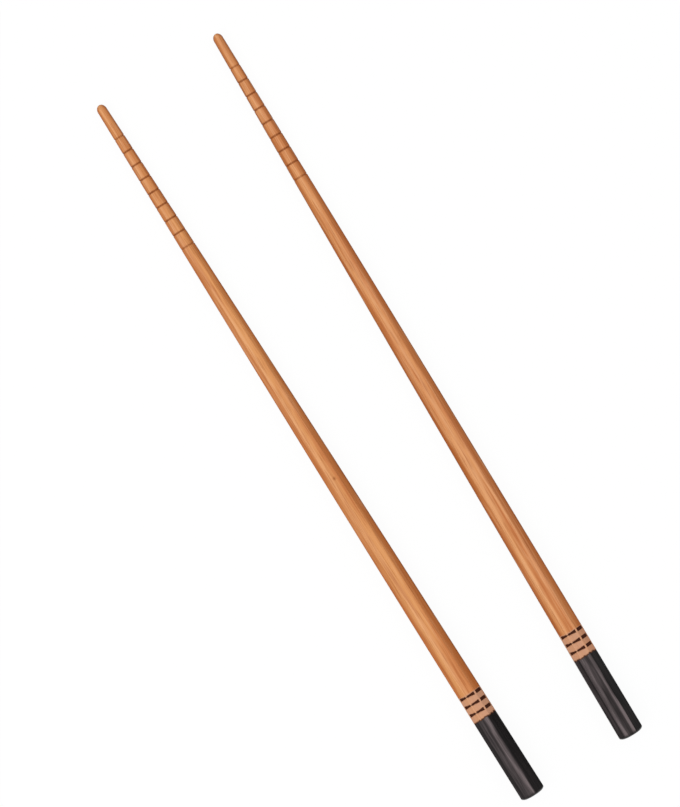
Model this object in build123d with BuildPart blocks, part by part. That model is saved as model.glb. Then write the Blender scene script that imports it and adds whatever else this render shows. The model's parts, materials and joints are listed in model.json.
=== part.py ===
from build123d import *

import os
from math import atan, cos, degrees, floor, radians, sin, tan

# A pair of bamboo chopsticks that lie side by side on a table, tips towards +Y.
# Lengths are in millimetres. Distances along a stick are counted from its tip.

# The taper: widths across the flats at the two ends, and how far each side swells out from
# a straight line between them at the middle of the stick.
length = 240.0
tip_width = 2.9
handle_width = 7.7
side_swell = 0.4
shaft_segments = 7

# The octagon and its softened edges. Past flats_whole_from the edges have edge_radius. From
# there to round_up_to they grow until they have taken up the flats, and the tip is round.
flat_count = 8
edge_radius = 0.6
flats_whole_from = 60.0
round_up_to = 12.0
roundness = 0.97

# Both ends are rounded over in the lathe. A tool starts this far clear of the sides.
nose_length = 2.0
end_round_length = 1.5
end_round_depth = 1.8
tool_clearance = 0.03

# Rings burnt into the tip, so that food doesn't slip.
ring_count = 9
first_ring = 11.3
ring_spacing = 4.73
ring_width = 0.5
ring_depth = 0.15

# Rows of dark dashes, one on each flat, pressed in beside the lacquered end of the handle.
lacquer_length = 27.1
row_count = 3
row_clearance = 2.5
row_spacing = 2.7
dash_width = 1.1
dash_depth = 0.12
dash_end_clearance = 0.05

# The sticks' axes are further apart at the tips than at the handles.
tip_spread = 40.2
handle_spread = 33.9

turn_per_flat = 360.0 / flat_count
half_turn = radians(turn_per_flat / 2)


def half_width(distance):
    """Half the width across the flats, at a distance from the tip."""
    share = distance / length
    straight = (tip_width + (handle_width - tip_width) * share) / 2
    return straight + 4 * side_swell * share * (1 - share)


def softness(distance):
    """The radius of the octagon's edges there: nearly half_width where the stick is round."""
    share = (distance - round_up_to) / (flats_whole_from - round_up_to)
    share = min(max(share, 0), 1)
    eased = share * share * (3 - 2 * share)
    return edge_radius * eased + roundness * half_width(distance) * (1 - eased)


def corner_reach(distance):
    """From the axis to the top of a softened edge."""
    radius = softness(distance)
    return (half_width(distance) - radius) / cos(half_turn) + radius


def flat_breadth(distance):
    """The breadth that the softened edges leave of one flat."""
    return 2 * (half_width(distance) - softness(distance)) * tan(half_turn)


# The sections of the planed stick, each a distance and how deep a ring has sunk it there.
# Three make a ring: its edge, its bottom and its other edge.
rings = [first_ring + ring_spacing * number for number in range(ring_count)]
sections = [(0, 0)]
for ring in rings:
    sections.append((ring - ring_width / 2, 0))
    sections.append((ring, ring_depth))
    sections.append((ring + ring_width / 2, 0))

# Past the last ring the shaft is planed in straight segments, too many to see.
shaft_start = rings[-1] + ring_width / 2
segment_length = (length - shaft_start) / shaft_segments
for number in range(shaft_segments):
    sections.append((shaft_start + segment_length * (number + 1), 0))

first_row = length - lacquer_length - row_clearance
rows = [first_row - row_spacing * number for number in range(row_count)]

with BuildPart() as chopstick:
    # The stick with its rings, one flat facing down.
    for distance, depth in sections:
        with BuildSketch(Plane.YZ.offset(distance)) as outline:
            RegularPolygon(
                half_width(distance) - depth,
                flat_count,
                major_radius=False,
                rotation=turn_per_flat / 2 - 90,
            )
            fillet(outline.vertices(), radius=softness(distance) - depth)
    loft(ruled=True)

    # What the lathe takes off round the nose.
    nose_radius = corner_reach(nose_length) + tool_clearance
    with BuildSketch(Plane.XY):
        with BuildLine():
            nose = EllipticalCenterArc(
                (nose_length, 0), nose_length, nose_radius, start_angle=90, arc_size=90
            )
            Polyline(
                nose @ 0,
                (nose_length, 2 * nose_radius),
                (-nose_length, 2 * nose_radius),
                (-nose_length, 0),
                nose @ 1,
            )
        make_face()
    revolve(axis=Axis.X, mode=Mode.SUBTRACT)

    # What it takes off round the end of the handle.
    end_reach = corner_reach(length) + tool_clearance
    with BuildSketch(Plane.XY):
        with BuildLine():
            rounding = EllipticalCenterArc(
                (length - end_round_length, end_reach - end_round_depth),
                end_round_length,
                end_round_depth,
                start_angle=0,
                arc_size=90,
            )
            Polyline(
                rounding @ 1,
                (length - end_round_length, 2 * end_reach),
                (length + end_round_length, 2 * end_reach),
                (length + end_round_length, end_reach - end_round_depth),
                rounding @ 0,
            )
        make_face()
    revolve(axis=Axis.X, mode=Mode.SUBTRACT)

    # The dashes stop short of the softened edges on both sides.
    for row in rows:
        for number in range(flat_count):
            flat = Plane(origin=(row, 0, 0)).rotated((180 + turn_per_flat * number, 0, 0))
            with BuildSketch(flat.offset(half_width(row) + tool_clearance)):
                Rectangle(dash_width, flat_breadth(row) - 2 * dash_end_clearance)
    extrude(amount=-(tool_clearance + dash_depth), mode=Mode.SUBTRACT)

# On a table a stick lies on the segment of its swelled underside that is below its balance
# point. Tip and end then stand a little clear of the table.
balance_point = chopstick.part.center(CenterOf.MASS).X
rest_segment = floor((balance_point - shaft_start) / segment_length)
rest_start = shaft_start + segment_length * rest_segment
rest_end = rest_start + segment_length
pitch = atan((half_width(rest_end) - half_width(rest_start)) / segment_length)
middle_height = half_width(rest_start) * cos(pitch) - (rest_start - length / 2) * sin(pitch)
middle_spread = (tip_spread + handle_spread) / 2
toe_in = atan((tip_spread - handle_spread) / 2 / length)


def resting_place(side):
    """Where a finished stick goes. side is -1 for the left one and 1 for the right one."""
    middle = (side * middle_spread / 2, 0, middle_height)
    turn = (0, -degrees(pitch), -90 - side * degrees(toe_in))
    return Location(middle, turn, Extrinsic.XYZ) * Location((-length / 2, 0, 0))


os.makedirs("parts", exist_ok=True)

with BuildPart() as left_chopstick:
    with Locations(resting_place(-1)):
        add(chopstick.part)
left_chopstick.part.label = "left_chopstick"
export_step(left_chopstick.part, "parts/left_chopstick.step")

with BuildPart() as right_chopstick:
    with Locations(resting_place(1)):
        add(chopstick.part)
right_chopstick.part.label = "right_chopstick"
export_step(right_chopstick.part, "parts/right_chopstick.step")
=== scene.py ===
"""A pair of carbonised bamboo chopsticks on a white table, seen from straight above."""

import json
import logging
import math
from dataclasses import dataclass, fields
from enum import Enum
from typing import Sequence, Union

import bpy
from bpy.types import ID, Material, Node, NodeSocket, NodeTree, Object
from mathutils import Matrix, Vector

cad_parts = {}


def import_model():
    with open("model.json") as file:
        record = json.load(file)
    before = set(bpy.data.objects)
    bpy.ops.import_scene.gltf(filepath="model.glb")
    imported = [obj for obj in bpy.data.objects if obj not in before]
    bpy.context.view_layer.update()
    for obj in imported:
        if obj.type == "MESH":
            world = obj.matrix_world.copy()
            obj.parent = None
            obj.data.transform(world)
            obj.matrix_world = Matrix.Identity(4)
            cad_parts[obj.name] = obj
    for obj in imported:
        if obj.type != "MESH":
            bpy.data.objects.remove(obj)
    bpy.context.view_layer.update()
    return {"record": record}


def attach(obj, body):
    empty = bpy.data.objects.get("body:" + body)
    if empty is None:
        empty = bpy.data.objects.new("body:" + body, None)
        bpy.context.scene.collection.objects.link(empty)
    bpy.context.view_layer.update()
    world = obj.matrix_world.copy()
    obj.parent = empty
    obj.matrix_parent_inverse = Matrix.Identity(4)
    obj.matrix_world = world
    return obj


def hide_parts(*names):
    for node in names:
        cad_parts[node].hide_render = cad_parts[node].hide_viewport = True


log = logging.getLogger("chopsticks")

MM = 0.001

# A stick's section is an octagon.
FLATS = 8

# Attributes that the sticks' mesh carries for their finish: the point in millimetres, with
# X from the tip to the end, the point in the section in half widths, and the distance to the
# nearest edge of its flat in millimetres.
PLACE = "stick_place"
GIRTH = "stick_girth"
EDGE_GAP = "edge_gap"

# Colours that come up in more than one place of the finishes.
# Darker orange-browns that paint shade on the sticks' sides and rims, and along the right stick's
# handle top.
PAINTED_SHADE = "#A9571B"
DEEP_PAINTED_SHADE = "#70380F"
# A pale tone for the grain's pale strands, which also paints highlights along the sticks' edges.
PALE_STRAND_AND_HIGHLIGHT = "#EAB080"
# The grey of rubbed lacquer, which also paints highlights on the black end.
WORN_LACQUER_AND_HIGHLIGHT = "#706566"

# What sums of fields take, and what a node's input takes.
Number = Union["Field", float]
Value = Union["Field", "Tint", NodeSocket, ID, float, tuple, str]


class Side(Enum):
    """Which stick of the pair, seen with the tips pointing away."""

    LEFT = "left"
    RIGHT = "right"


def add_node(
    tree: NodeTree, kind: str, inputs: dict[Union[str, int], Value], **settings: object
) -> Node:
    """Adds one node to a tree.

    Args:
        tree: The tree that gets the node.
        kind: Blender's name for the node's type.
        inputs: What its inputs get, by their names or numbers.
        settings: The node's own properties, such as its operation.

    Returns:
        The new node.
    """
    node = tree.nodes.new(kind)
    for name, setting in settings.items():
        setattr(node, name, setting)
    for key, value in inputs.items():
        if isinstance(key, str):
            socket = next(s for s in node.inputs if s.name == key and s.enabled)
        else:
            socket = node.inputs[key]
        if isinstance(value, (Field, Tint)):
            value = value.value
        if isinstance(value, NodeSocket):
            tree.links.new(value, socket)
        else:
            socket.default_value = value
    return node


@dataclass(frozen=True)
class Field:
    """A number that a node tree works out at each point. The usual signs work on it."""

    tree: NodeTree
    value: NodeSocket

    def math(self, operation: str, *others: Number) -> "Field":
        """The result of a Math operation with this field as its first value."""
        values = dict(enumerate((self, *others)))
        node = add_node(self.tree, "ShaderNodeMath", values, operation=operation)
        return Field(self.tree, node.outputs[0])

    def __add__(self, other: Number) -> "Field":
        """This field plus another value."""
        return self.math("ADD", other)

    __radd__ = __add__

    def __sub__(self, other: Number) -> "Field":
        """This field less another value."""
        return self.math("SUBTRACT", other)

    def __rsub__(self, other: float) -> "Field":
        """A number less this field."""
        return self.math("MULTIPLY_ADD", -1.0, other)

    def __mul__(self, other: Number) -> "Field":
        """This field times another value."""
        return self.math("MULTIPLY", other)

    __rmul__ = __mul__

    def __truediv__(self, other: Number) -> "Field":
        """This field divided by another value."""
        return self.math("DIVIDE", other)

    def __abs__(self) -> "Field":
        """This field without its sign."""
        return self.math("ABSOLUTE")

    def at_least(self, other: Number) -> "Field":
        """The higher of this field and another value."""
        return self.math("MAXIMUM", other)

    def at_most(self, other: Number) -> "Field":
        """The lower of this field and another value."""
        return self.math("MINIMUM", other)

    def clamped(self) -> "Field":
        """This field, held between 0 and 1."""
        return self.at_least(0.0).at_most(1.0)

    def eased(self, low: float = 0.0, high: float = 1.0) -> "Field":
        """A share that grows softly from 0 where this field is low to 1 where it is high."""
        share = ((self - low) / (high - low)).clamped()
        return share * share * (3.0 - 2.0 * share)

    def mixed(self, share: Number, other: Number) -> "Field":
        """This field with a share of another value in its place."""
        return self * (1.0 - share) + other * share

    def off(self, first: Number, spacing: Number, count: Number) -> "Field":
        """How far this field is from the nearest of some evenly spaced values.

        Args:
            first: The lowest of the values.
            spacing: From one value to the next.
            count: How many values there are.

        Returns:
            The distance, never below 0.
        """
        number = ((self - first) / spacing).math("ROUND").at_least(0.0).at_most(count - 1.0)
        return abs(self - first - number * spacing)


def linear(hex_colour: str) -> tuple[float, float, float, float]:
    """An sRGB hex colour, such as "#D9A066", as the linear colour that sockets take."""
    shares = [int(hex_colour[place : place + 2], 16) / 255 for place in (1, 3, 5)]
    parts = [s / 12.92 if s <= 0.04045 else ((s + 0.055) / 1.055) ** 2.4 for s in shares]
    return (*parts, 1.0)


@dataclass(frozen=True)
class Tint:
    """A colour that a node tree works out at each point."""

    tree: NodeTree
    value: Union[NodeSocket, tuple[float, float, float, float]]

    def stained(self, stain: Union[str, "Tint"], share: Number) -> "Tint":
        """Lays another colour over this one.

        Args:
            stain: The other colour, as a tint or an sRGB hex colour.
            share: How much of it there is, from 0 to 1.

        Returns:
            The colour that results.
        """
        above = linear(stain) if isinstance(stain, str) else stain
        node = add_node(
            self.tree,
            "ShaderNodeMix",
            {"Factor": share, "A": self, "B": above},
            data_type="RGBA",
            clamp_factor=True,
        )
        return Tint(self.tree, next(socket for socket in node.outputs if socket.enabled))


@dataclass(frozen=True)
class StickSizes:
    """A stick's sizes in millimetres, as the solid was planed. Distances count from its tip.

    The mesh's node tree reads them as fields, for the same formulas.
    """

    length: Number = 240.0
    tip_width: Number = 2.9
    handle_width: Number = 7.7
    side_swell: Number = 0.4
    edge_radius: Number = 0.6
    flats_whole_from: Number = 60.0
    round_up_to: Number = 12.0
    roundness: Number = 0.97
    nose_length: Number = 2.0
    end_round_length: Number = 1.5
    end_round_depth: Number = 1.8
    tool_clearance: Number = 0.03
    ring_count: Number = 9.0
    first_ring: Number = 11.3
    ring_spacing: Number = 4.73
    ring_width: Number = 0.5
    ring_depth: Number = 0.15
    lacquer_length: Number = 27.1
    row_count: Number = 3.0
    row_clearance: Number = 2.5
    row_spacing: Number = 2.7
    dash_width: Number = 1.1
    dash_depth: Number = 0.12
    dash_end_clearance: Number = 0.05
    planing_allowance: Number = 0.006

    @property
    def lacquer_from(self) -> Number:
        """Where the black lacquer starts."""
        return self.length - self.lacquer_length

    @property
    def last_row(self) -> Number:
        """The row of dashes next to the lacquer."""
        return self.lacquer_from - self.row_clearance

    @property
    def first_row(self) -> Number:
        """The row of dashes nearest the tip."""
        return self.last_row - self.row_spacing * (self.row_count - 1)

    @property
    def last_ring(self) -> Number:
        """The ring furthest from the tip."""
        return self.first_ring + self.ring_spacing * (self.ring_count - 1)

    def half_width(self, along: Field) -> Field:
        """Half the width across the flats, inside the straight segments of the planed solid."""
        share = along / self.length
        straight = (self.tip_width + (self.handle_width - self.tip_width) * share) / 2.0
        swell = 4.0 * self.side_swell * share * (1.0 - share)
        return straight + swell - self.planing_allowance

    def edge_softness(self, along: Field) -> Field:
        """The radius of the octagon's edges, which leaves the tip nearly round."""
        span = self.flats_whole_from - self.round_up_to
        whole = ((along - self.round_up_to) / span).eased()
        return (self.roundness * self.half_width(along)).mixed(whole, self.edge_radius)

    def edge_reach(self, along: Field) -> Field:
        """From the axis to the top of a softened edge."""
        softness = self.edge_softness(along)
        return (self.half_width(along) - softness) / math.cos(math.pi / FLATS) + softness


@dataclass(frozen=True)
class Grain:
    """Lengthwise streaks of one scale. The width and length of a streak are in millimetres.

    Layers is how many finer streaks lie in them, sharpness how strongly those show, and
    shift says which stretch of the noise they are taken from.
    """

    width: float
    length: float
    layers: float = 2.0
    shift: float = 0.0
    sharpness: float = 0.55


@dataclass(frozen=True)
class Skin:
    """What a finish reads from the mesh at each point."""

    tree: NodeTree
    place: NodeSocket
    along: Field
    right: Field
    up: Field
    edge_gap: Field

    @classmethod
    def read(cls, tree: NodeTree) -> "Skin":
        """Adds the nodes that read the mesh's attributes.

        Args:
            tree: The material's node tree.

        Returns:
            The point, its distance from the tip, its place in the section and its edge gap.
        """
        place, girth, gap = (
            add_node(tree, "ShaderNodeAttribute", {}, attribute_name=name)
            for name in (PLACE, GIRTH, EDGE_GAP)
        )
        lengthwise = add_node(tree, "ShaderNodeSeparateXYZ", {0: place.outputs["Vector"]})
        section = add_node(tree, "ShaderNodeSeparateXYZ", {0: girth.outputs["Vector"]})
        return cls(
            tree,
            place.outputs["Vector"],
            along=Field(tree, lengthwise.outputs[0]),
            right=Field(tree, section.outputs[1]),
            up=Field(tree, section.outputs[2]),
            edge_gap=Field(tree, gap.outputs["Fac"]),
        )

    def angle_from(self, degrees: float) -> Field:
        """How far round the stick a point is from one side.

        Args:
            degrees: The side, from 0 for the right through 90 for the top.

        Returns:
            The angle in degrees, from -180 to 180, above 0 towards the left of the top.
        """
        turn = math.radians(degrees)
        forwards = self.right * math.cos(turn) + self.up * math.sin(turn)
        sideways = self.up * math.cos(turn) - self.right * math.sin(turn)
        return sideways.math("ARCTAN2", forwards) * math.degrees(1.0)

    def grain(self, grain: Grain, seed: float) -> Field:
        """Adds lengthwise streaks.

        Args:
            grain: Their scale.
            seed: Sets the streaks of one stick apart from the other's.

        Returns:
            A field around 0.5, mostly between 0.3 and 0.7.
        """
        start = seed + grain.shift
        drawn_out = add_node(
            self.tree,
            "ShaderNodeMapping",
            {
                "Vector": self.place,
                "Location": (start, start, start),
                "Scale": (1 / grain.length, 1 / grain.width, 1 / grain.width),
            },
        )
        noise = add_node(
            self.tree,
            "ShaderNodeTexNoise",
            {
                "Vector": drawn_out.outputs[0],
                "Scale": 1.0,
                "Detail": grain.layers,
                "Roughness": grain.sharpness,
            },
        )
        return Field(self.tree, noise.outputs[0])


@dataclass(frozen=True)
class Coat:
    """What one finish gives the shader at each point."""

    colour: Tint
    roughness: Field
    relief: Field


@dataclass(frozen=True)
class Rise:
    """A share that goes softly from nothing to whole between two values of a field."""

    nothing_at: float
    whole_at: float
    share: float = 1.0

    def of(self, field: Field) -> Field:
        """The share that a field gives."""
        return field.eased(self.nothing_at, self.whole_at) * self.share


@dataclass(frozen=True)
class Stain:
    """A colour that comes and goes with a grain."""

    colour: str
    rise: Rise

    def over(self, ground: Tint, grain: Field) -> Tint:
        """The ground with this colour laid over it, where the grain brings it in."""
        return ground.stained(self.colour, self.rise.of(grain))


@dataclass(frozen=True)
class Streak:
    """A band of another colour along a stick, on one side of it.

    Angles are in degrees, and its start, end and fade in millimetres from the tip.
    """

    colour: str
    side: float
    half_angle: float
    softness: float
    share: float
    start: float = 0.0
    end: float = 240.0
    fade: float = 25.0

    def field(self, skin: Skin, wander: Field) -> Field:
        """Adds the band, whose edges follow the grain.

        Args:
            skin: What the mesh says of each point.
            wander: A field around 0 that moves its edges, in degrees.

        Returns:
            Its share, which is 0 outside it.
        """
        off = abs(skin.angle_from(self.side) + wander)
        band = 1.0 - off.eased(self.half_angle - self.softness, self.half_angle + self.softness)
        begun = skin.along.eased(self.start - self.fade, self.start)
        ended = skin.along.eased(self.end, self.end + self.fade)
        return band * begun * (1.0 - ended) * self.share


@dataclass(frozen=True)
class Knot:
    """A small round knot in the middle of a stick's top. Its place counts from the tip."""

    place: float
    radius: float = 0.9
    share: float = 0.65

    def field(self, skin: Skin, half_width: float) -> Field:
        """Adds the knot.

        Args:
            skin: What the mesh says of each point.
            half_width: What turns a place in the section to millimetres.

        Returns:
            Its share, which is whole in the middle.
        """
        lengthways = skin.along - self.place
        crossways = skin.right * half_width
        distance = (lengthways * lengthways + crossways * crossways).math("SQRT")
        return (1.0 - distance.eased(0.0, self.radius)) * self.share


@dataclass(frozen=True)
class CarbonisedBamboo:
    """Bamboo that was steamed until it turned caramel, then planed and oiled.

    The eye gets straight fibres, slow changes from gold to amber, and a satin shine. Darker
    orange-brown bands, mostly on its sides, are painted shade, and narrow pale bands along
    its edges are painted highlights. Rings and dashes are burnt into it, the dashes more
    lightly round one edge, and the ground between them is sanded pale. Bamboo has fibre
    bundles of 0.1 to 0.3 mm, which are drawn at the coarse end so that they show.
    """

    # The ground and its grain.
    gold: str = "#DB985F"
    amber: Stain = Stain("#CD8450", Rise(0.38, 0.62))
    red: Stain = Stain("#AF5C26", Rise(0.52, 0.68, share=0.36))
    pale: Stain = Stain(PALE_STRAND_AND_HIGHLIGHT, Rise(0.46, 0.32, share=0.3))
    fibre: Stain = Stain("#9C5326", Rise(0.5, 0.66, share=0.42))
    slow_grain: Grain = Grain(width=2.6, length=60.0)
    strand_grain: Grain = Grain(width=0.8, length=20.0, shift=7.3)
    fibre_grain: Grain = Grain(width=0.3, length=9.0, layers=3.0, shift=3.1)
    # Bands that paint shade on the sides and highlights along the edges.
    streaks: tuple[Streak, ...] = ()
    streak_wander: float = 20.0
    seed: float = 0.0

    # The sanded ground round the rows of dashes.
    sanded: str = "#CA987A"
    sanded_before_rows: float = 0.8
    sanded_edge: Rise = Rise(0.0, 0.3)
    sanded_edge_wander: float = 0.4
    least_sanded: float = 0.6
    uneven_sanding: Rise = Rise(0.38, 0.62, share=0.25)

    # The rings and knots.
    burnt: str = "#86400F"
    knots: tuple[Knot, ...] = ()
    ring_heart: float = 0.1
    least_ring_burn: float = 0.25
    end_ring_burn: float = 0.65
    end_ring_reach: float = 1.0

    # The dashes. What they lose and what runs over go by degrees from the lightly burnt side.
    dash: str = "#3E1805"
    dash_edge_inside: float = 0.1
    dash_edge_outside: float = 0.05
    dash_edge_wander: float = 0.1
    dash_end: Rise = Rise(0.0, 0.12)
    lightly_burnt_side: float = 112.5
    lightly_burnt_loss: Rise = Rise(46.0, 14.0, share=0.19)
    run_over_width: float = 0.5
    run_over_edge: Rise = Rise(12.0, 8.0, share=0.85)

    # The surface.
    roughness: float = 0.44
    fibre_roughness: float = 0.2
    dash_roughness: float = 0.2
    strand_relief: float = 0.5

    def coat(self, skin: Skin, sizes: StickSizes) -> Coat:
        """Adds the finish to a material.

        Args:
            skin: What the mesh says of each point.
            sizes: The stick's sizes, which say where rings and dashes are.

        Returns:
            The colour, roughness and relief.
        """
        slow = skin.grain(self.slow_grain, self.seed)
        strands = skin.grain(self.strand_grain, self.seed)
        fibres = skin.grain(self.fibre_grain, self.seed)
        wander = strands - 0.5

        colour = self.amber.over(Tint(skin.tree, linear(self.gold)), slow)
        # The streaks paint shade on the sides and highlights along the edges into the colour.
        for streak in self.streaks:
            band = streak.field(skin, wander * self.streak_wander)
            colour = colour.stained(streak.colour, band)
        colour = self.red.over(colour, strands)
        colour = self.pale.over(colour, strands)
        colour = self.fibre.over(colour, fibres)
        for knot in self.knots:
            colour = colour.stained(self.burnt, knot.field(skin, sizes.handle_width / 2))

        sanded_from = sizes.first_row - self.sanded_before_rows
        past_edge = skin.along + wander * self.sanded_edge_wander - sanded_from
        sanding = self.least_sanded + self.uneven_sanding.of(slow)
        colour = colour.stained(self.sanded, self.sanded_edge.of(past_edge) * sanding)
        burn = self._rings(skin, sizes) * (self.least_ring_burn + fibres)
        colour = colour.stained(self.burnt, burn)
        dashes, run_over = self._rows(skin, sizes, wander * self.dash_edge_wander)
        colour = colour.stained(self.dash, dashes.at_least(run_over))

        roughness = self.roughness + (fibres - 0.5) * self.fibre_roughness
        roughness = roughness + dashes * self.dash_roughness
        return Coat(colour, roughness, fibres + strands * self.strand_relief)

    def _rings(self, skin: Skin, sizes: StickSizes) -> Field:
        """Adds the burn in the rings, which is weaker in the first and the last.

        Args:
            skin: What the mesh says of each point.
            sizes: The stick's sizes.

        Returns:
            The burn's share, from 0 to 1.
        """
        ring_gap = skin.along.off(sizes.first_ring, sizes.ring_spacing, sizes.ring_count)
        groove = 1.0 - ring_gap.eased(self.ring_heart, sizes.ring_width)
        grip_length = sizes.last_ring - sizes.first_ring
        from_grip_end = skin.along.off(sizes.first_ring, grip_length, count=2.0)
        inner = from_grip_end.eased(self.end_ring_reach, sizes.ring_spacing)
        return groove * (self.end_ring_burn + (1.0 - self.end_ring_burn) * inner)

    def _rows(self, skin: Skin, sizes: StickSizes, wander: Field) -> tuple[Field, Field]:
        """Adds the burn in the dashes.

        Round the lightly burnt edge the dashes narrow, and a thin burn runs over that edge
        from each dash to the next.

        Args:
            skin: What the mesh says of each point.
            sizes: The stick's sizes.
            wander: A field around 0 that moves the dashes' edges, in millimetres.

        Returns:
            The share of the dashes, and that of what runs over the edge.
        """
        off_side = abs(skin.angle_from(self.lightly_burnt_side))
        row_gap = (skin.along + wander).off(sizes.first_row, sizes.row_spacing, sizes.row_count)
        row_gap = row_gap + self.lightly_burnt_loss.of(off_side)
        half_dash = sizes.dash_width / 2
        whole_to = half_dash - self.dash_edge_inside
        in_row = 1.0 - row_gap.eased(whole_to, half_dash + self.dash_edge_outside)
        dashes = in_row * self.dash_end.of(skin.edge_gap)
        run_over = 1.0 - row_gap.eased(self.run_over_width / 2, self.run_over_width)
        return dashes, run_over * self.run_over_edge.of(off_side)


@dataclass(frozen=True)
class BlackLacquer:
    """Black lacquer brushed thinly over the end of the handle and rubbed down to satin.

    The eye gets a soft black with brown-grey streaks along the fibres where the rubbing went
    nearly through. Broader grey bands along its flats and edges are painted highlights,
    stronger where it is worn.
    """

    black: str = "#0B0808"
    rubbed: str = WORN_LACQUER_AND_HIGHLIGHT
    creep: str = "#4A2512"
    strand_grain: Grain = Grain(width=0.8, length=14.0)
    fibre_grain: Grain = Grain(width=0.3, length=7.0, layers=3.0, shift=5.1)
    edge_grain: Grain = Grain(width=0.9, length=60.0, shift=2.7)
    # Bands that paint highlights on the black end.
    streaks: tuple[Streak, ...] = ()
    streak_wander: float = 7.0
    least_highlight: float = 0.45
    worn_strands: Rise = Rise(0.42, 0.66, share=0.6)
    worn_fibres: Rise = Rise(0.45, 0.7, share=0.4)
    rubbed_share: float = 0.08
    end_margin: float = 0.1
    creep_length: float = 0.5
    raggedness: float = 1.6
    edge: Rise = Rise(0.0, 0.25)
    roughness: float = 0.36
    fibre_roughness: float = 0.25
    seed: float = 0.0

    def masks(self, skin: Skin, sizes: StickSizes) -> tuple[Field, Field]:
        """Adds the line where the lacquer starts, which follows the fibres a little.

        Args:
            skin: What the mesh says of each point.
            sizes: The stick's sizes, which say where the lacquer starts.

        Returns:
            The share of brown stain that crept along the fibres, and that of the lacquer.
        """
        ragged = (skin.grain(self.edge_grain, self.seed) - 0.5) * self.raggedness
        past = skin.along + ragged - sizes.lacquer_from
        return past.eased(-self.creep_length, 0.0), self.edge.of(past)

    def coat(self, skin: Skin, sizes: StickSizes) -> Coat:
        """Adds the finish to a material. The flat end stays black all over.

        Args:
            skin: What the mesh says of each point.
            sizes: The stick's sizes, which say where its end is.

        Returns:
            The colour, roughness and relief.
        """
        strands = skin.grain(self.strand_grain, self.seed)
        fibres = skin.grain(self.fibre_grain, self.seed)
        worn = self.worn_strands.of(strands) + self.worn_fibres.of(fibres)
        black = Tint(skin.tree, linear(self.black))
        colour = black.stained(self.rubbed, worn * self.rubbed_share)
        rounding_from = sizes.length - sizes.end_round_length
        on_sides = 1.0 - skin.along.eased(rounding_from, sizes.length - self.end_margin)
        # The streaks paint highlights on the black, stronger where it is worn.
        for streak in self.streaks:
            band = streak.field(skin, (strands - 0.5) * self.streak_wander) * on_sides
            colour = colour.stained(streak.colour, band * (self.least_highlight + worn))
        roughness = self.roughness + (fibres - 0.5) * self.fibre_roughness
        return Coat(colour, roughness, fibres + strands)


@dataclass(frozen=True)
class StickFinish:
    """The whole finish of one stick: oiled bamboo, with black lacquer on the handle's end."""

    name: str
    bamboo: CarbonisedBamboo
    lacquer: BlackLacquer
    ior: float = 1.5
    specular_level: float = 0.12
    relief_strength: float = 0.4
    relief_depth: float = 0.05

    def build(self, sizes: StickSizes) -> Material:
        """Makes the material.

        Args:
            sizes: The stick's sizes.

        Returns:
            The finished material.
        """
        material, tree = new_material(self.name)
        skin = Skin.read(tree)
        bare = self.bamboo.coat(skin, sizes)
        black = self.lacquer.coat(skin, sizes)
        crept, covered = self.lacquer.masks(skin, sizes)
        colour = bare.colour.stained(self.lacquer.creep, crept).stained(black.colour, covered)
        relief = add_node(
            tree,
            "ShaderNodeBump",
            {
                "Strength": self.relief_strength,
                "Distance": self.relief_depth * MM,
                "Height": bare.relief.mixed(covered, black.relief),
            },
        )
        shader = add_node(
            tree,
            "ShaderNodeBsdfPrincipled",
            {
                "Base Color": colour,
                "Roughness": bare.roughness.mixed(covered, black.roughness),
                "Normal": relief.outputs[0],
                "IOR": self.ior,
                "Specular IOR Level": self.specular_level,
            },
        )
        add_node(tree, "ShaderNodeOutputMaterial", {0: shader.outputs[0]})
        return material


def new_material(name: str) -> tuple[Material, NodeTree]:
    """Makes an empty material.

    Args:
        name: The material's name.

    Returns:
        The material, and its node tree without any node.
    """
    material = bpy.data.materials.new(name)
    material.use_nodes = True
    material.node_tree.nodes.clear()
    return material, material.node_tree


def new_object(name: str, data: ID) -> Object:
    """Makes an object and puts it into the scene."""
    made = bpy.data.objects.new(name, data)
    bpy.context.scene.collection.objects.link(made)
    return made


@dataclass(frozen=True)
class Stretch:
    """Some mesh rows in a line, and the length that they span evenly."""

    rows: int
    length: Number

    def reach(self, step: Field) -> Field:
        """The distance from the stretch's start, at a number of rows from it."""
        return (step / self.rows).clamped() * self.length


def laid_out(step: Field, parts: Sequence[Union[Stretch, "Pattern"]]) -> Field:
    """Turns a count of rows into a distance.

    Args:
        step: The number of rows from the start of the first part.
        parts: The stretches and patterns, in order.

    Returns:
        The distance from the start. Past the last part it stays the same.
    """
    start = 0
    reaches = []
    for part in parts:
        reaches.append(part.reach(step - start))
        start += part.rows
    return sum(reaches[1:], reaches[0])


@dataclass(frozen=True)
class Pattern:
    """Marks cut across the stick at an even spacing, with mesh rows at all their edges.

    Half a spacing is laid out from the middle of a mark outwards.
    """

    count: int
    spacing: Number
    half: tuple[Stretch, ...]

    @property
    def rows_each(self) -> int:
        """How many rows one mark and the ground round it take."""
        return 2 * sum(stretch.rows for stretch in self.half)

    @property
    def rows(self) -> int:
        """How many rows the whole pattern takes."""
        return self.count * self.rows_each

    def reach(self, step: Field) -> Field:
        """The distance from the pattern's start, at a number of rows from it."""
        held = step.at_least(0.0).at_most(self.rows)
        number = (held / self.rows_each).math("FLOOR")
        from_middle = held - number * self.rows_each - self.rows_each / 2
        gap = laid_out(abs(from_middle), self.half)
        return (number + 0.5) * self.spacing + gap * from_middle.math("SIGN")


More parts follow.
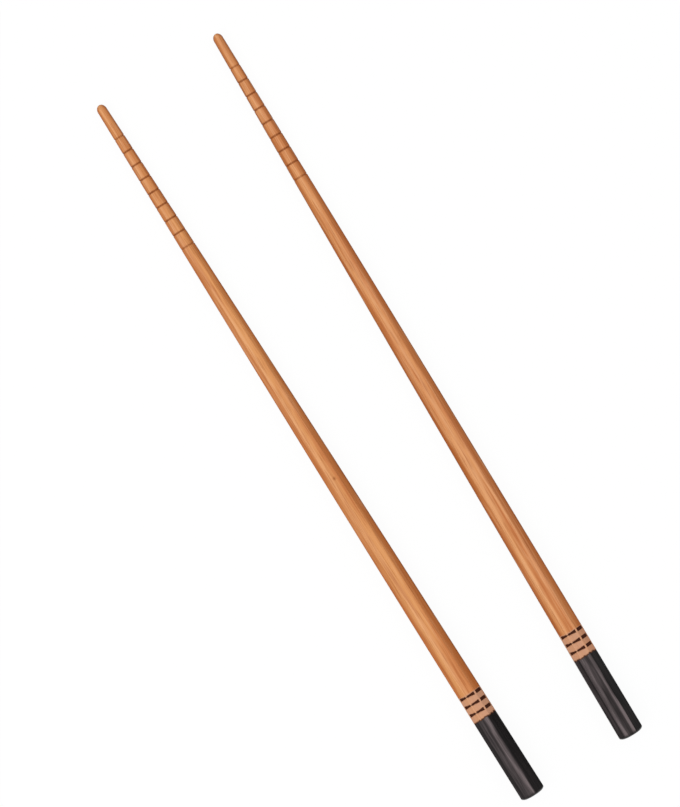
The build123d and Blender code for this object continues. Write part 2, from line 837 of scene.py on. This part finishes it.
@dataclass(frozen=True)
class StickMesh:
    """How finely a stick is meshed, and the node tree that gives the mesh its form.

    A flat grid has a row for each section and a column for each line along the stick. The
    tree wraps it round the stick's axis.
    """

    sizes: StickSizes
    corner_columns: int = 6
    half_flat_columns: int = 5
    nose_rows: int = 12
    end_rows: int = 10
    cap_rows: int = 3
    bare_tip_rows: int = 5
    mark_rows: int = 3
    row_length: float = 2.5
    wall_width: float = 0.03
    margin_share: float = 0.1
    smallest_reach: float = 0.001
    merge_distance: float = 0.0001
    crease_angle: float = 25.0

    @property
    def columns_each(self) -> int:
        """How many columns one softened edge and one flat of the section take."""
        return self.corner_columns + 2 * self.half_flat_columns

    def course(self) -> list[Union[Stretch, Pattern]]:
        """Lays out the mesh rows between the nose and the rounded end.

        Returns:
            The plain stretches and the patterns of rings and dashes, in order.
        """
        size = self.sizes
        ring_half = (
            Stretch(self.mark_rows, size.ring_width / 2),
            Stretch(self.mark_rows, (size.ring_spacing - size.ring_width) / 2),
        )
        rings = Pattern(round(size.ring_count), size.ring_spacing, ring_half)
        dash_half = (
            Stretch(self.mark_rows, size.dash_width / 2 - self.wall_width),
            Stretch(1, self.wall_width),
            Stretch(self.mark_rows, (size.row_spacing - size.dash_width) / 2),
        )
        dashes = Pattern(round(size.row_count), size.row_spacing, dash_half)
        rings_from = size.first_ring - size.ring_spacing / 2
        rings_to = size.last_ring + size.ring_spacing / 2
        dashes_from = size.first_row - size.row_spacing / 2
        dashes_to = size.last_row + size.row_spacing / 2
        shaft = dashes_from - rings_to
        handle = size.length - size.end_round_length - dashes_to
        return [
            Stretch(self.bare_tip_rows, rings_from - size.nose_length),
            rings,
            Stretch(round(shaft / self.row_length), shaft),
            dashes,
            Stretch(round(handle / self.row_length), handle),
        ]

    def tree(self, finish: Material) -> NodeTree:
        """Builds the Geometry Nodes tree.

        Args:
            finish: The stick's material.

        Returns:
            The tree, which takes every size of the stick as a named input.
        """
        tree = bpy.data.node_groups.new("planed_stick", "GeometryNodeTree")
        tree.is_modifier = True
        size = self._inputs(tree)
        mesh, row, column = self._grid(tree)
        along, limit, cap = self._lengthwise(size, row)
        y, z, edge_gap = self._section(size, along, column)
        half_width = size.half_width(along)
        reach = (y * y + z * z).math("SQRT").at_least(self.smallest_reach)
        factor = (limit / reach).at_most(1.0) * cap
        place = add_node(tree, "ShaderNodeCombineXYZ", {0: along, 1: y * factor, 2: z * factor})
        girth = add_node(tree, "ShaderNodeCombineXYZ", {1: y / half_width, 2: z / half_width})
        carried = (
            (EDGE_GAP, "FLOAT", edge_gap),
            (GIRTH, "FLOAT_VECTOR", girth.outputs[0]),
            (PLACE, "FLOAT_VECTOR", place.outputs[0]),
        )
        for name, kind, value in carried:
            stored = add_node(
                tree,
                "GeometryNodeStoreNamedAttribute",
                {"Geometry": mesh, "Name": name, "Value": value},
                data_type=kind,
                domain="POINT",
            )
            mesh = stored.outputs[0]
        moved = add_node(
            tree, "GeometryNodeSetPosition", {"Geometry": mesh, "Position": place.outputs[0]}
        )
        add_node(tree, "NodeGroupOutput", {0: self._finished(tree, moved.outputs[0], finish)})
        return tree

    def _inputs(self, tree: NodeTree) -> StickSizes:
        """Adds the tree's inputs and its output.

        Args:
            tree: The tree that gets them.

        Returns:
            The stick's sizes, as the tree reads them.
        """
        for field in fields(self.sizes):
            label = field.name.replace("_", " ").title()
            tree.interface.new_socket(name=label, in_out="INPUT", socket_type="NodeSocketFloat")
        tree.interface.new_socket(name="Mesh", in_out="OUTPUT", socket_type="NodeSocketGeometry")
        source = add_node(tree, "NodeGroupInput", {})
        # The last output is the empty one that Blender keeps for a further input.
        return StickSizes(*(Field(tree, output) for output in source.outputs[:-1]))

    def _grid(self, tree: NodeTree) -> tuple[NodeSocket, Field, Field]:
        """Adds the flat grid.

        Args:
            tree: The tree that gets it.

        Returns:
            The grid, and each point's row and column number.
        """
        rows = self.nose_rows + sum(part.rows for part in self.course()) + self.end_rows
        rows += self.cap_rows
        columns = FLATS * self.columns_each
        grid = add_node(
            tree,
            "GeometryNodeMeshGrid",
            {"Size X": 1.0, "Size Y": 1.0, "Vertices X": rows + 1, "Vertices Y": columns + 1},
        )
        position = add_node(tree, "GeometryNodeInputPosition", {})
        split = add_node(tree, "ShaderNodeSeparateXYZ", {0: position.outputs[0]})
        row = ((Field(tree, split.outputs[0]) + 0.5) * rows).math("ROUND")
        column = ((Field(tree, split.outputs[1]) + 0.5) * columns).math("ROUND")
        return grid.outputs["Mesh"], row, column

    def _lengthwise(self, size: StickSizes, row: Field) -> tuple[Field, ...]:
        """Works out what depends on the row alone.

        Args:
            size: The stick's sizes.
            row: The point's row number.

        Returns:
            The distance from the tip, the radius that the lathe left there, and a factor
            that closes the flat end.
        """
        quarter = math.pi / 2
        nose_turn = (row / self.nose_rows).clamped() * quarter
        nose = size.nose_length * (1.0 - nose_turn.math("COSINE"))
        course = self.course()
        start = self.nose_rows + sum(part.rows for part in course)
        end_turn = ((row - start) / self.end_rows).clamped() * quarter
        rounded_end = size.end_round_length * end_turn.math("SINE")
        along = nose + laid_out(row - self.nose_rows, course) + rounded_end

        out_of_reach = 1000.0
        nose_reach = size.edge_reach(size.nose_length) + size.tool_clearance
        nose_limit = nose_reach * nose_turn.math("SINE")
        nose_limit = nose_limit + row.math("GREATER_THAN", self.nose_rows + 0.5) * out_of_reach
        end_reach = size.edge_reach(size.length) + size.tool_clearance
        end_limit = end_reach - size.end_round_depth * (1.0 - end_turn.math("COSINE"))
        end_limit = end_limit + row.math("LESS_THAN", start - 0.5) * out_of_reach
        cap = 1.0 - ((row - start - self.end_rows) / self.cap_rows).clamped()
        return along, nose_limit.at_most(end_limit), cap

    def _section(self, size: StickSizes, along: Field, column: Field) -> tuple[Field, ...]:
        """Works out a point of the octagonal section, with rings and dashes sunk into it.

        Args:
            size: The stick's sizes.
            along: The distance from the tip.
            column: The point's column number.

        Returns:
            The point across the stick and up from its axis, and how far it is inside the
            nearest edge of its flat.
        """
        turn = 2 * math.pi / FLATS
        half_width = size.half_width(along)
        softness = size.edge_softness(along)
        breadth = (half_width - softness) * (2 * math.tan(turn / 2))
        corner = (column / self.columns_each).math("FLOOR")
        step = column - corner * self.columns_each
        corner_share = (step / self.corner_columns).clamped()
        flat_step = (step - self.corner_columns).at_least(0.0)
        on_flat, edge_gap, in_dash = self._across_flat(size, breadth, flat_step)

        corner_turn = corner * turn + turn / 2
        normal_turn = corner_turn + (corner_share - 0.5) * turn
        centre = (half_width - softness) / math.cos(turn / 2)
        outwards = softness - self._sunk(size, along, in_dash)
        cosine = normal_turn.math("COSINE")
        sine = normal_turn.math("SINE")
        y = centre * corner_turn.math("COSINE") + outwards * cosine - on_flat * sine
        z = centre * corner_turn.math("SINE") + outwards * sine + on_flat * cosine
        return y, z, edge_gap

    def _across_flat(self, size: StickSizes, breadth: Field, step: Field) -> tuple[Field, ...]:
        """Lays out a flat's columns from both of its edges, with a wall where dashes end.

        Args:
            size: The stick's sizes.
            breadth: The flat's breadth.
            step: The number of columns from the flat's first edge.

        Returns:
            The distance from that edge and from the nearest one, and the share of a dash's
            depth that its end leaves.
        """
        margin = breadth * self.margin_share
        clearance = size.dash_end_clearance.at_most(margin)
        wall = margin.at_most(self.wall_width)
        rest = breadth * 0.5 - clearance - wall
        half_flat = (
            Stretch(1, clearance),
            Stretch(1, wall),
            Stretch(self.half_flat_columns - 2, rest),
        )
        edge_gap = laid_out(step.at_most(2 * self.half_flat_columns - step), half_flat)
        past_middle = step.math("GREATER_THAN", self.half_flat_columns + 0.5)
        on_flat = edge_gap + past_middle * (breadth - 2.0 * edge_gap)
        return on_flat, edge_gap, ((edge_gap - clearance) / wall).clamped()

    def _sunk(self, size: StickSizes, along: Field, in_dash: Field) -> Field:
        """How deep the rings and the dashes are at a point.

        Args:
            size: The stick's sizes.
            along: The distance from the tip.
            in_dash: The share of a dash's depth that its end leaves.

        Returns:
            The depth under the planed surface.
        """
        ring_gap = along.off(size.first_ring, size.ring_spacing, size.ring_count)
        ring = (1.0 - ring_gap / (size.ring_width / 2.0)).clamped() * size.ring_depth
        row_gap = along.off(size.first_row, size.row_spacing, size.row_count)
        in_row = ((size.dash_width / 2.0 - row_gap) / self.wall_width).clamped()
        return ring + in_row * in_dash * size.dash_depth

    def _finished(self, tree: NodeTree, mesh: NodeSocket, finish: Material) -> NodeSocket:
        """Closes the wrapped grid, and gives it its shading and its material.

        Args:
            tree: The tree that gets the nodes.
            mesh: The wrapped grid.
            finish: The stick's material.

        Returns:
            The finished mesh.
        """
        closed = add_node(
            tree,
            "GeometryNodeMergeByDistance",
            {"Geometry": mesh, "Distance": self.merge_distance},
        )
        angle = add_node(tree, "GeometryNodeInputMeshEdgeAngle", {})
        gentle = Field(tree, angle.outputs[0]).math("LESS_THAN", math.radians(self.crease_angle))
        smooth = add_node(
            tree,
            "GeometryNodeSetShadeSmooth",
            {"Geometry": closed.outputs[0], "Shade Smooth": gentle},
            domain="EDGE",
        )
        real = add_node(tree, "GeometryNodeRealizeInstances", {"Geometry": smooth.outputs[0]})
        dressed = add_node(
            tree, "GeometryNodeSetMaterial", {"Geometry": real.outputs[0], "Material": finish}
        )
        return dressed.outputs[0]


@dataclass(frozen=True)
class Chopstick:
    """One stick: the fine mesh that stands for its solid, and its finish."""

    side: Side
    finish: StickFinish
    sizes: StickSizes = StickSizes()

    @property
    def node(self) -> str:
        """The name of the solid that this stick stands for."""
        return f"{self.side.value}_chopstick"

    def place(self, record: dict) -> Matrix:
        """Where the stick lies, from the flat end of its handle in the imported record.

        Args:
            record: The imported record.

        Returns:
            The matrix from the stick's own millimetres to the frame's metres.
        """
        name = f"{self.side.value}_handle_end"
        end = next(mount for mount in record["mounts"] if mount["name"] == name)
        forwards = Vector(end["axis"]).normalized()
        sideways = Vector((0, 0, 1)).cross(forwards).normalized()
        upwards = forwards.cross(sideways)
        turned = Matrix((forwards, sideways, upwards)).transposed().to_4x4()
        from_tip = Matrix.Translation((-self.sizes.length, 0, 0))
        return Matrix.Translation(end["pos_m"]) @ turned @ Matrix.Scale(MM, 4) @ from_tip

    def build(self, record: dict) -> Object:
        """Makes the stick's mesh, with its material, where its solid lies.

        Args:
            record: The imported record.

        Returns:
            The finished object.
        """
        tree = StickMesh(self.sizes).tree(self.finish.build(self.sizes))
        carrier = new_object("stick_carrier", bpy.data.meshes.new("stick_carrier"))
        modifier = carrier.modifiers.new("planed_stick", "NODES")
        modifier.node_group = tree
        sockets = [item for item in tree.interface.items_tree if item.in_out == "INPUT"]
        for field, socket in zip(fields(self.sizes), sockets):
            modifier[socket.identifier] = getattr(self.sizes, field.name)
        graph = bpy.context.evaluated_depsgraph_get()
        mesh = bpy.data.meshes.new_from_object(
            carrier.evaluated_get(graph), preserve_all_data_layers=True, depsgraph=graph
        )
        bpy.data.objects.remove(carrier)
        mesh.name = f"bamboo_stick_{self.side.value}"
        mesh.transform(self.place(record))
        return new_object(mesh.name, mesh)

    def dress(self, stick: Object) -> None:
        """Says what the stick rides on and stands for."""
        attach(stick, "root")
        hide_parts(self.node)
        log.info("%s: %d faces, stands for %s", stick.name, len(stick.data.polygons), self.node)


@dataclass(frozen=True)
class Softbox:
    """A square soft light that looks at the pair. Place and side are in metres."""

    name: str
    place: tuple[float, float, float]
    side: float
    watts: float

    def build(self) -> None:
        """Adds the light."""
        data = bpy.data.lights.new(self.name, "AREA")
        data.size = self.side
        data.energy = self.watts
        light = new_object(self.name, data)
        light.location = self.place
        light.rotation_euler = (-Vector(self.place)).to_track_quat("-Z", "Y").to_euler()


@dataclass(frozen=True)
class Studio:
    """A white table under soft light from the left, and the camera straight above it.

    Lengths are in metres, but the sensor and the table's drop are in millimetres.
    """

    image_width: int = 680
    image_height: int = 807
    pair_centre_pixel: tuple[float, float] = (369.7, 416.7)
    millimetres_per_pixel: float = 0.2954
    camera_height: float = 1.0
    camera_turn: float = -31.49
    sensor: float = 36.0
    table_size: float = 6.0
    table_drop: float = 0.02
    table_colour: str = "#A8A8A8"
    table_glow: float = 0.86
    table_glow_strength: float = 1.1
    room_colour: str = "#FFFFFF"
    sky: float = 0.745
    lamps: tuple[Softbox, ...] = (
        Softbox("softbox_left", place=(-0.62, -0.1, 0.95), side=0.7, watts=4.2),
        Softbox("strip_right", place=(0.5, 0.0, 0.75), side=0.12, watts=0.5),
    )

    def camera(self) -> None:
        """Adds the camera, with the pair where the photograph has it.

        The sensor's width spans the longer side of the image, which is its height.
        """
        data = bpy.data.cameras.new("camera")
        data.sensor_width = self.sensor
        pixel = self.millimetres_per_pixel * MM
        data.lens = self.sensor * self.camera_height / (self.image_height * pixel)
        camera = new_object("camera", data)
        turn = math.radians(self.camera_turn)
        pixel_x, pixel_y = self.pair_centre_pixel
        rightwards = (self.image_width / 2 - pixel_x) * pixel
        upwards = (pixel_y - self.image_height / 2) * pixel
        offset = Matrix.Rotation(turn, 3, "Z") @ Vector((rightwards, upwards, 0))
        camera.location = offset + Vector((0, 0, self.camera_height))
        camera.rotation_euler = (0, 0, turn)
        bpy.context.scene.camera = camera

    def table(self) -> None:
        """Adds the table, a matt white sheet on which the eye gets only soft shadows.

        Most of what the camera sees of it is its own white, and the rest takes the shadows.
        """
        half = self.table_size / 2
        corners = [(-half, -half), (half, -half), (half, half), (-half, half)]
        mesh = bpy.data.meshes.new("table")
        mesh.from_pydata([(x, y, -self.table_drop * MM) for x, y in corners], [], [(0, 1, 2, 3)])
        table = new_object("table", mesh)
        material, tree = new_material("white_table")
        path = add_node(tree, "ShaderNodeLightPath", {})
        seen = Field(tree, path.outputs["Is Camera Ray"])
        for name in ("Is Glossy Ray", "Is Transmission Ray"):
            seen = seen.at_least(Field(tree, path.outputs[name]))
        matt = add_node(tree, "ShaderNodeBsdfDiffuse", {"Color": linear(self.table_colour)})
        glow = add_node(tree, "ShaderNodeEmission", {"Strength": self.table_glow_strength})
        mix = add_node(
            tree,
            "ShaderNodeMixShader",
            {0: seen * self.table_glow, 1: matt.outputs[0], 2: glow.outputs[0]},
        )
        add_node(tree, "ShaderNodeOutputMaterial", {0: mix.outputs[0]})
        mesh.materials.append(material)

    def world(self) -> None:
        """Lights the table evenly from all round, and shows white to the camera."""
        world = bpy.data.worlds.new("white_room")
        world.use_nodes = True
        tree = world.node_tree
        tree.nodes.clear()
        path = add_node(tree, "ShaderNodeLightPath", {})
        seen = Field(tree, path.outputs["Is Camera Ray"])
        glow = add_node(
            tree,
            "ShaderNodeBackground",
            {"Color": linear(self.room_colour), "Strength": seen * (1.0 - self.sky) + self.sky},
        )
        add_node(tree, "ShaderNodeOutputWorld", {0: glow.outputs[0]})
        bpy.context.scene.world = world

    def build(self) -> None:
        """Adds the camera, the table and all light."""
        self.camera()
        self.table()
        self.world()
        for lamp in self.lamps:
            lamp.build()
        bpy.context.scene.view_settings.view_transform = "Standard"
        log.info("studio built")


LEFT_FINISH = StickFinish(
    name="carbonised_bamboo_left",
    bamboo=CarbonisedBamboo(
        # Darker bands paint shade on the sides and rims, and the narrow pale band paints a
        # highlight on an edge.
        streaks=(
            Streak(PAINTED_SHADE, side=-12.0, half_angle=84.0, softness=8.0, share=0.22),
            Streak(PAINTED_SHADE, side=-12.0, half_angle=62.0, softness=12.0, share=0.5),
            Streak(
                PAINTED_SHADE, side=-12.0, half_angle=75.0, softness=10.0, share=0.22, start=150.0, fade=60.0
            ),
            Streak(DEEP_PAINTED_SHADE, side=-10.0, half_angle=40.0, softness=8.0, share=0.6),
            Streak(PAINTED_SHADE, side=180.0, half_angle=42.0, softness=20.0, share=0.5),
            Streak(PALE_STRAND_AND_HIGHLIGHT, side=107.0, half_angle=9.0, softness=7.0, share=0.4),
        ),
        knots=(Knot(place=130.0),),
    ),
    lacquer=BlackLacquer(
        # Grey bands that paint highlights on the black end's flats and edges.
        streaks=(
            Streak(WORN_LACQUER_AND_HIGHLIGHT, side=89.0, half_angle=10.0, softness=6.0, share=1.0),
            Streak(WORN_LACQUER_AND_HIGHLIGHT, side=115.0, half_angle=15.0, softness=6.0, share=0.32),
            Streak(WORN_LACQUER_AND_HIGHLIGHT, side=150.0, half_angle=22.0, softness=8.0, share=0.12),
        ),
    ),
)
RIGHT_FINISH = StickFinish(
    name="carbonised_bamboo_right",
    bamboo=CarbonisedBamboo(
        gold="#D8945E",
        amber=Stain("#CA804F", Rise(0.38, 0.62)),
        # Darker bands paint shade on the sides, rims and the handle's top, and the narrow pale
        # bands paint highlights on the edges.
        streaks=(
            Streak(PAINTED_SHADE, side=-8.0, half_angle=80.0, softness=8.0, share=0.3),
            Streak(PAINTED_SHADE, side=-8.0, half_angle=58.0, softness=8.0, share=0.55),
            Streak(DEEP_PAINTED_SHADE, side=-10.0, half_angle=40.0, softness=8.0, share=0.64),
            Streak(PAINTED_SHADE, side=180.0, half_angle=52.0, softness=14.0, share=0.6, end=150.0),
            Streak(PAINTED_SHADE, side=180.0, half_angle=42.0, softness=20.0, share=0.5, start=150.0),
            Streak(DEEP_PAINTED_SHADE, side=180.0, half_angle=32.0, softness=8.0, share=0.3),
            Streak(PAINTED_SHADE, side=91.0, half_angle=10.0, softness=6.0, share=0.3, start=160.0),
            Streak(PALE_STRAND_AND_HIGHLIGHT, side=96.0, half_angle=9.0, softness=7.0, share=0.45, end=150.0),
            Streak(PALE_STRAND_AND_HIGHLIGHT, side=72.0, half_angle=7.0, softness=5.0, share=0.35, start=150.0),
            Streak(PALE_STRAND_AND_HIGHLIGHT, side=115.0, half_angle=9.0, softness=5.0, share=0.3, start=150.0),
        ),
        seed=21.0,
    ),
    lacquer=BlackLacquer(
        # Grey bands that paint highlights on the black end's flats and edges.
        streaks=(
            Streak(WORN_LACQUER_AND_HIGHLIGHT, side=75.0, half_angle=6.0, softness=3.0, share=1.0),
            Streak(WORN_LACQUER_AND_HIGHLIGHT, side=90.0, half_angle=12.0, softness=6.0, share=0.22),
            Streak(WORN_LACQUER_AND_HIGHLIGHT, side=114.0, half_angle=11.0, softness=5.0, share=0.9),
            Streak(WORN_LACQUER_AND_HIGHLIGHT, side=150.0, half_angle=22.0, softness=8.0, share=0.16),
        ),
        seed=13.0,
    ),
)


def main() -> None:
    """Builds the two sticks and the studio."""
    logging.basicConfig(level=logging.INFO, format="%(message)s")
    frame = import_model()
    for stick in (Chopstick(Side.LEFT, LEFT_FINISH), Chopstick(Side.RIGHT, RIGHT_FINISH)):
        stick.dress(stick.build(frame["record"]))
    Studio().build()


if __name__ == "__main__":
    main()
